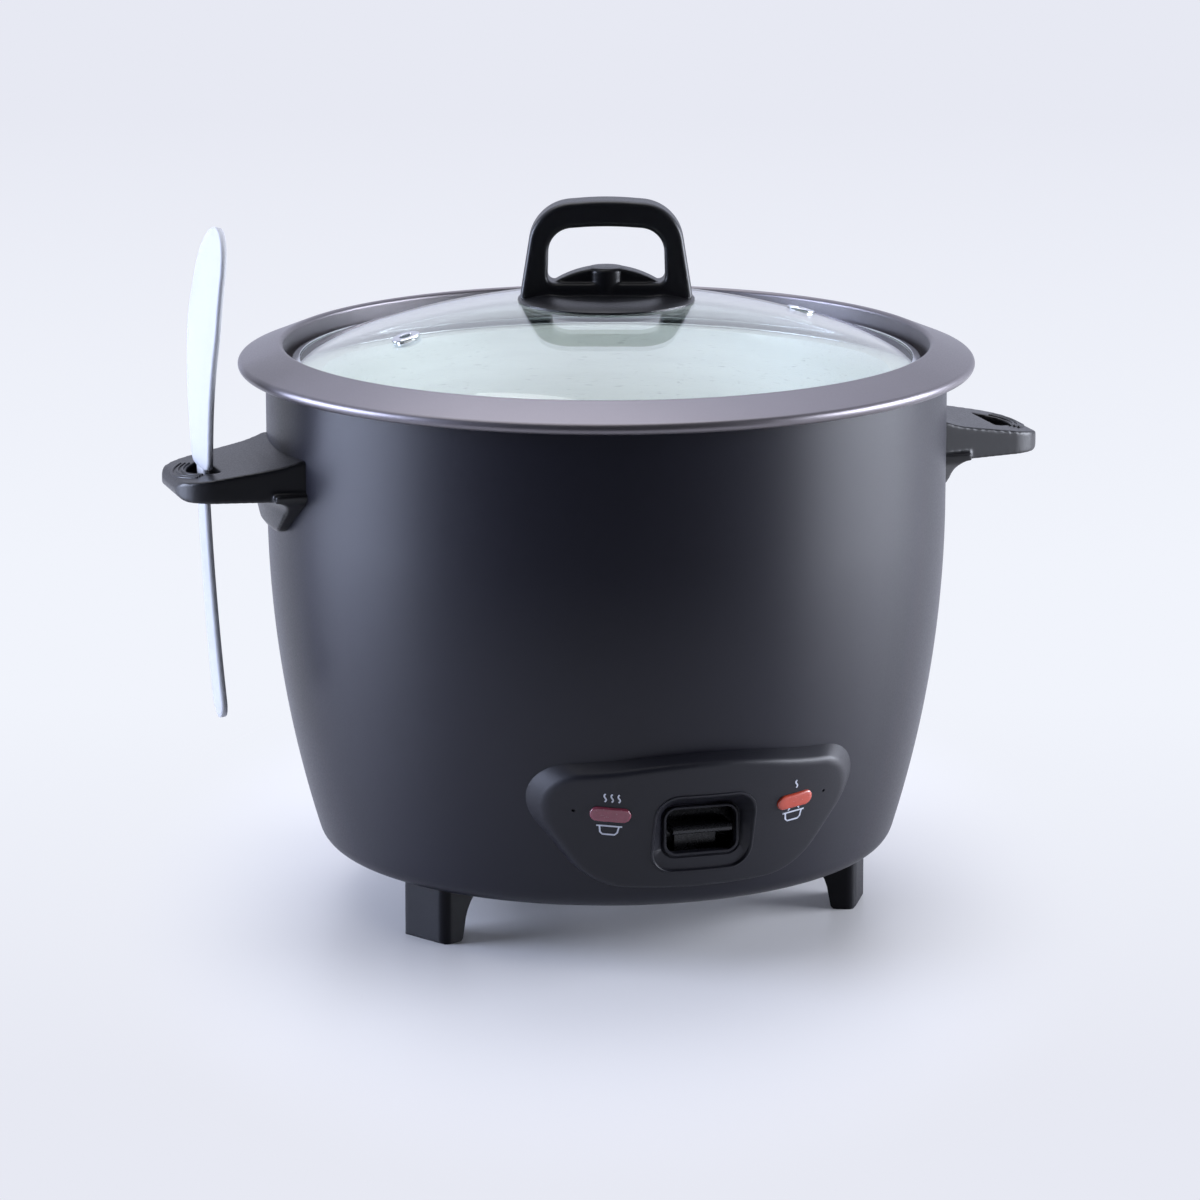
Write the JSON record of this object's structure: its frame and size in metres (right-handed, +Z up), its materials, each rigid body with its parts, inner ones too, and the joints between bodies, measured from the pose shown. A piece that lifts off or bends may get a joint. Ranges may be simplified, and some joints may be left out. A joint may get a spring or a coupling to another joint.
{
  "type": "rice cooker",
  "caption": "Drum rice cooker with a glass lid on a lift-out pot, side handles, a proud control panel with a lever, three feet and a stored paddle.",
  "frame": {"origin": "on the body's vertical axis, on the table at the feet's bottom", "axes": "+Z is up, -Y is the front with the control panel, +X is towards the right side handle"},
  "size_m": [0.3468, 0.2836, 0.2739],
  "materials": {
    "shell_paint": "satin dark charcoal enamel",
    "ring_paint": "satin warm dark grey metallic",
    "liner_steel": "plain galvanised sheet",
    "pan_steel": "plain galvanised sheet",
    "screw_steel": "zinc plated",
    "black_plastic": "satin black moulding",
    "panel_plastic": "satin black moulding",
    "knob_plastic": "satin dark moulding",
    "cook_lens": "clear-through red lens, unlit",
    "warm_lens": "clear-through orange lens, lit",
    "neon_glass": "clear",
    "cast_aluminium": "cast and turned",
    "element_steel": "heat-darkened tube",
    "ferrite": "sintered, dark grey",
    "phenolic": "moulded brown",
    "brass": "plain",
    "mica": "laminated, pale brown",
    "ceramic": "glazed white",
    "wire_sleeve": "silicone sleeve, red",
    "pot_aluminium": "satin",
    "lid_glass": "clear tempered",
    "hoop_steel": "polished stainless",
    "silicone": "matt",
    "paddle_plastic": "translucent white, satin"
  },
  "bodies": {
    "housing": {"outer_shell": "shell_paint", "top_ring": "ring_paint", "inner_liner": "liner_steel", "base_pan": "pan_steel", "foot_left": "black_plastic", "foot_right": "black_plastic", "foot_rear": "black_plastic", "foot_screws": "screw_steel", "handle_left": "black_plastic", "handle_right": "black_plastic", "handle_screws": "screw_steel", "control_panel": "panel_plastic", "panel_screws": "screw_steel", "switch_bezel": "panel_plastic", "cook_lamp_lens": "cook_lens", "warm_lamp_lens": "warm_lens", "neon_lamps": "neon_glass", "hot_plate": "cast_aluminium", "heating_element": "element_steel", "plate_spacers": "screw_steel", "plate_screws": "screw_steel", "thermostat_cage": "liner_steel", "switch_bracket": "pan_steel", "pivot_pin": "screw_steel", "contact_block": "phenolic", "contact_leaves": "brass", "warming_band": "mica", "thermal_fuse": "ceramic", "wiring": "wire_sleeve", "power_inlet": "black_plastic", "inlet_pins": "brass", "inlet_screws": "screw_steel"},
    "pot": {"inner_pot": "pot_aluminium"},
    "lid": {"lid_glass": "lid_glass", "lid_hoop": "hoop_steel", "vent_eyelets": "hoop_steel", "lid_gasket": "silicone", "lid_handle": "black_plastic", "lid_washer": "screw_steel", "lid_screw": "screw_steel"},
    "cook_lever": {"lever_knob": "knob_plastic", "lever_arm": "pan_steel"},
    "plunger": {"plunger_rod": "screw_steel", "plunger_magnet": "ferrite", "plunger_spring": "screw_steel"},
    "sensor": {"sensor_cap": "pot_aluminium", "sensor_barrel": "liner_steel", "ferrite_ring": "ferrite", "sensor_spring": "screw_steel"},
    "paddle": {"rice_paddle": "paddle_plastic"}
  },
  "joints": [
    {"name": "pot_lift", "type": "slide", "parent": "housing", "child": "pot", "axis": [0, 0, 1], "range_m": [0, 0.2]},
    {"name": "lid_lift", "type": "slide", "parent": "pot", "child": "lid", "axis": [0, 0, 1], "range_m": [0, 0.15]},
    {"name": "paddle_draw", "type": "hinge", "parent": "housing", "child": "paddle", "pos_m": [1.2396, 0, 0.215], "axis": [0, 1, 0], "range_deg": [0, 4.2]},
    {"name": "lever_press", "type": "hinge", "parent": "housing", "child": "cook_lever", "pos_m": [0, -0.072, 0.055], "axis": [1, 0, 0], "range_deg": [0, 6.5], "stiffness_Nm_per_rad": 0.8, "springref_deg": -5.73},
    {"name": "magnet_rise", "type": "slide", "parent": "housing", "child": "plunger", "axis": [0, 0, 1], "range_m": [0, 0.0083], "deforming": ["plunger_spring"]},
    {"name": "sensor_press", "type": "slide", "parent": "housing", "child": "sensor", "axis": [0, 0, 1], "range_m": [-0.0025, 0], "stiffness_N_per_m": 800, "springref_m": 0.004, "deforming": ["sensor_spring"]}
  ],
  "couplings": [
    {"joint": "magnet_rise", "follows": "lever_press", "m_per_rad": 0.072}
  ]
}
